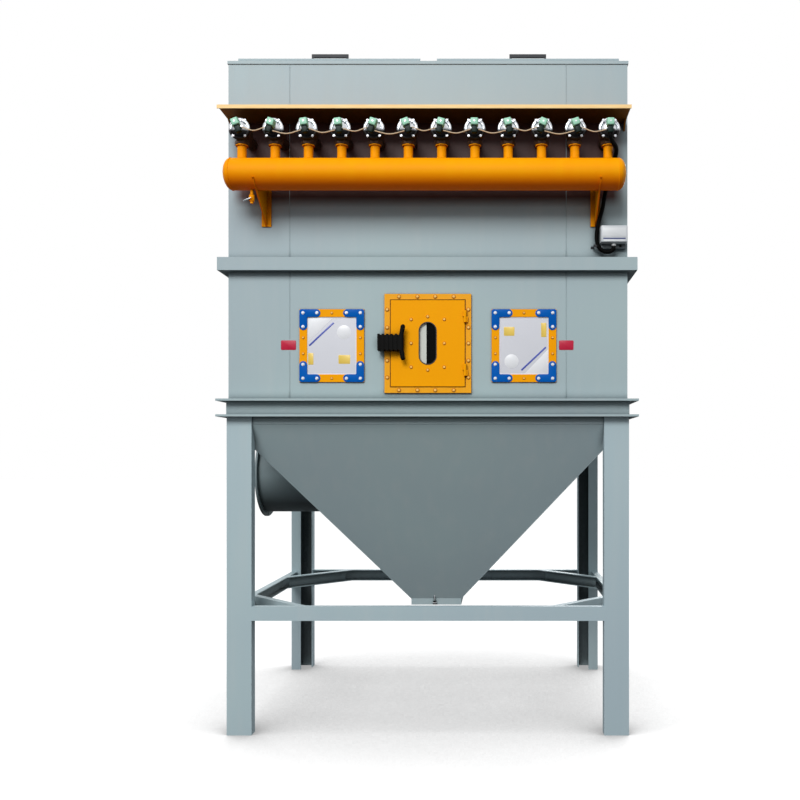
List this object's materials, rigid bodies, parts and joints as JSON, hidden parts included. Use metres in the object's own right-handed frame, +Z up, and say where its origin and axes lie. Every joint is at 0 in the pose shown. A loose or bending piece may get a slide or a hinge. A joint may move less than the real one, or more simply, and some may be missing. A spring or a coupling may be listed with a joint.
{
  "type": "pulse bag dust collector",
  "caption": "Baghouse dust collector on legs with a pyramid hopper, side inlet, hinged access door, explosion vents and a compressed-air manifold with pulse valves under a canopy.",
  "frame": {"origin": "on the floor, under the middle of the whole object's box", "axes": "+Z up; -Y is the front, where the access door and the valves are; +X is to the right for someone facing the front"},
  "size_m": [2.362, 2.075, 3.872],
  "materials": {
    "body_paint": "blue-grey satin paint on steel plate",
    "orange_paint": "orange satin paint on steel",
    "dark_paint": "dark grey satin paint",
    "galvanised_steel": "galvanised sheet",
    "filter_cloth": "off-white needle felt",
    "valve_casting": "cast and machined aluminium",
    "cock_metal": "plated steel",
    "coil_plastic": "mint green moulded plastic",
    "box_plastic": "light grey moulded plastic",
    "black_plastic": "black moulded plastic",
    "membrane_metal": "thin rolled metal sheet",
    "window_glass": "clear glass"
  },
  "bodies": {
    "casing": {"legs": "body_paint", "braces_long": "body_paint", "braces_short": "body_paint", "corner_braces": "body_paint", "base_beams_long": "body_paint", "base_beams_short": "body_paint", "hopper_front": "body_paint", "hopper_rear": "body_paint", "hopper_left": "body_paint", "hopper_right": "body_paint", "hopper_outlet": "body_paint", "inlet_duct": "body_paint", "front_wall_left": "body_paint", "front_wall_right": "body_paint", "front_wall_lintel": "body_paint", "front_wall_sill": "body_paint", "rear_wall": "body_paint", "side_walls": "body_paint", "rims_long": "body_paint", "rims_short": "body_paint", "plenum_front": "body_paint", "plenum_rear": "body_paint", "plenum_sides": "body_paint", "clean_air_outlet": "body_paint", "roof_plate": "body_paint", "roof_lids": "body_paint", "lid_handles": "dark_paint", "tube_sheet": "galvanised_steel", "filter_bags": "filter_cloth", "air_manifold": "orange_paint", "manifold_brackets": "orange_paint", "drain_valve": "cock_metal", "valve_bodies": "valve_casting", "valve_covers": "valve_casting", "pilot_coils": "coil_plastic", "coil_cables": "black_plastic", "canopy": "orange_paint", "controller": "box_plastic", "conduit": "black_plastic", "vent_frames": "orange_paint", "vent_membranes": "membrane_metal", "door_frame": "orange_paint", "door_hinges": "orange_paint"},
    "door": {"door_leaf": "orange_paint", "door_window": "window_glass", "door_handle": "black_plastic"}
  },
  "joints": [
    {"name": "door_hinge", "type": "hinge", "parent": "casing", "child": "door", "pos_m": [0.2105, -0.7475, 2.207], "axis": [0, 0, 1], "range_deg": [0, 110]}
  ]
}
